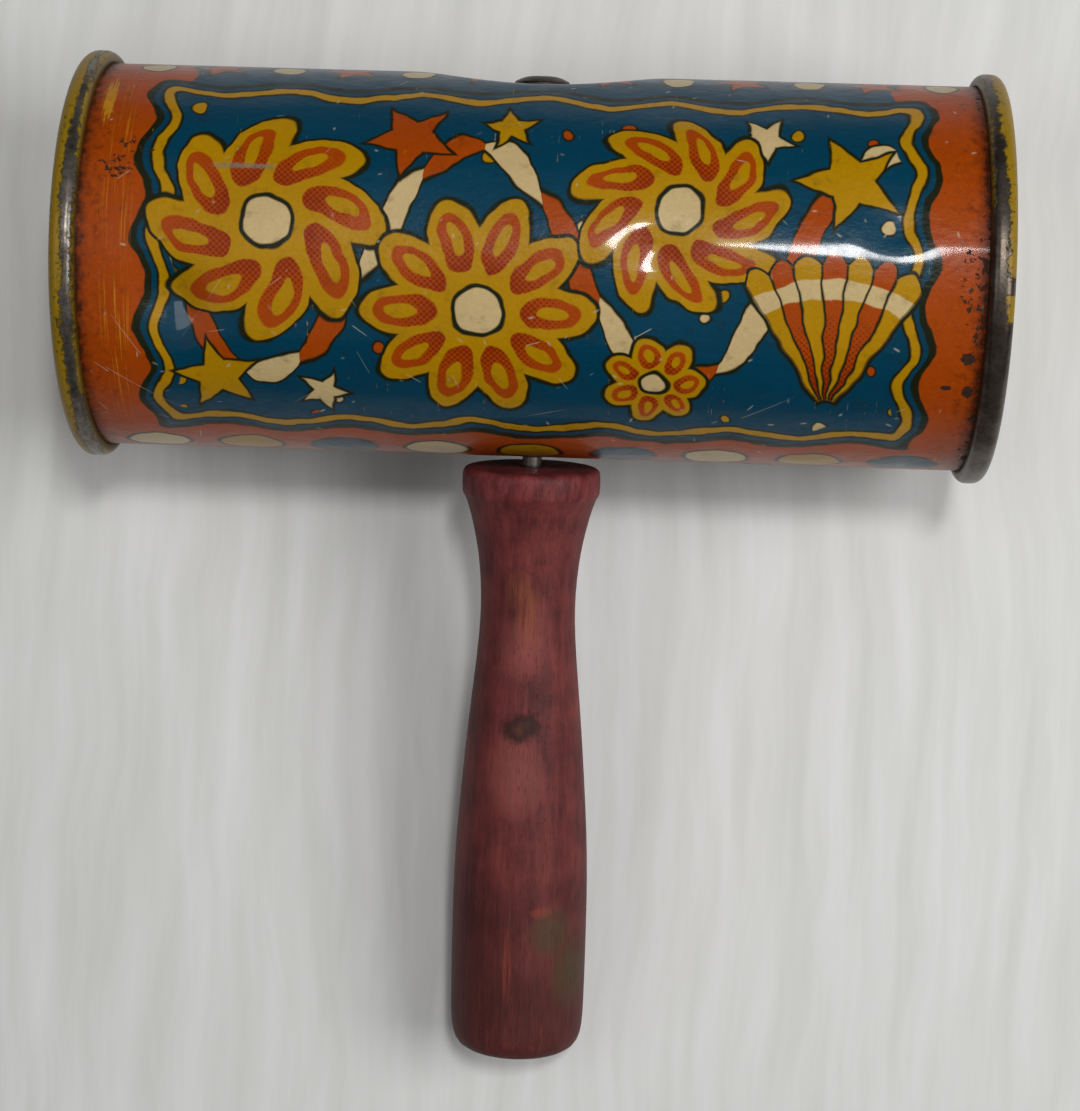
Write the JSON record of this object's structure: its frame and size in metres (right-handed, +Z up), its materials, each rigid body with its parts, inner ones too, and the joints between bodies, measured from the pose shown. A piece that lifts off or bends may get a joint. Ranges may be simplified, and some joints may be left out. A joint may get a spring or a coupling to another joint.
{
  "type": "gragger noisemaker",
  "caption": "Gragger noisemaker: a closed printed tin can that spins on a nail in a turned wooden handle, with a toothed wheel and spring tongues inside.",
  "frame": {"origin": "on the table, under the middle of the object's box as it lies on its two rims and the butt of its handle", "axes": "+X along the can, +Y away from the handle, +Z up from the table; the nail leans up from the handle towards its head"},
  "size_m": [0.102, 0.1142, 0.0458],
  "materials": {
    "printed_tin": "lithographed tinplate, worn gloss",
    "cap_tin": "yellow enamelled tinplate, worn to bare metal at the crest",
    "dark_steel": "oxidised steel",
    "spring_steel": "plain rolled steel",
    "dyed_wood": "maroon dyed turned wood, semi-matte",
    "plain_wood": "plain turned hardwood"
  },
  "bodies": {
    "drum": {"sleeve": "printed_tin", "left_end_cap": "cap_tin", "right_end_cap": "cap_tin", "upper_eyelet": "dark_steel", "lower_eyelet": "dark_steel", "left_tongue_foot": "spring_steel", "right_tongue_foot": "spring_steel"},
    "handle": {"handle": "dyed_wood", "axle_nail": "dark_steel", "ratchet_wheel": "plain_wood", "upper_spacer": "spring_steel", "lower_spacer": "spring_steel"},
    "left_tongue": {"left_tongue": "spring_steel"},
    "right_tongue": {"right_tongue": "spring_steel"}
  },
  "joints": [
    {"name": "handle_spin", "type": "hinge", "parent": "drum", "child": "handle", "pos_m": [0, 0.0342, 0.0229], "axis": [0, 0.9854, 0.1702], "continuous": true},
    {"name": "left_tongue_flex", "type": "hinge", "parent": "drum", "child": "left_tongue", "pos_m": [-0.04365, 0.03272, 0.03147], "axis": [0, -0.9854, -0.1702], "range_deg": [0, 3.5], "stiffness_Nm_per_rad": 0.5},
    {"name": "right_tongue_flex", "type": "hinge", "parent": "drum", "child": "right_tongue", "pos_m": [0.04365, 0.03568, 0.01433], "axis": [0, -0.9854, -0.1702], "range_deg": [0, 3.5], "stiffness_Nm_per_rad": 0.5}
  ]
}
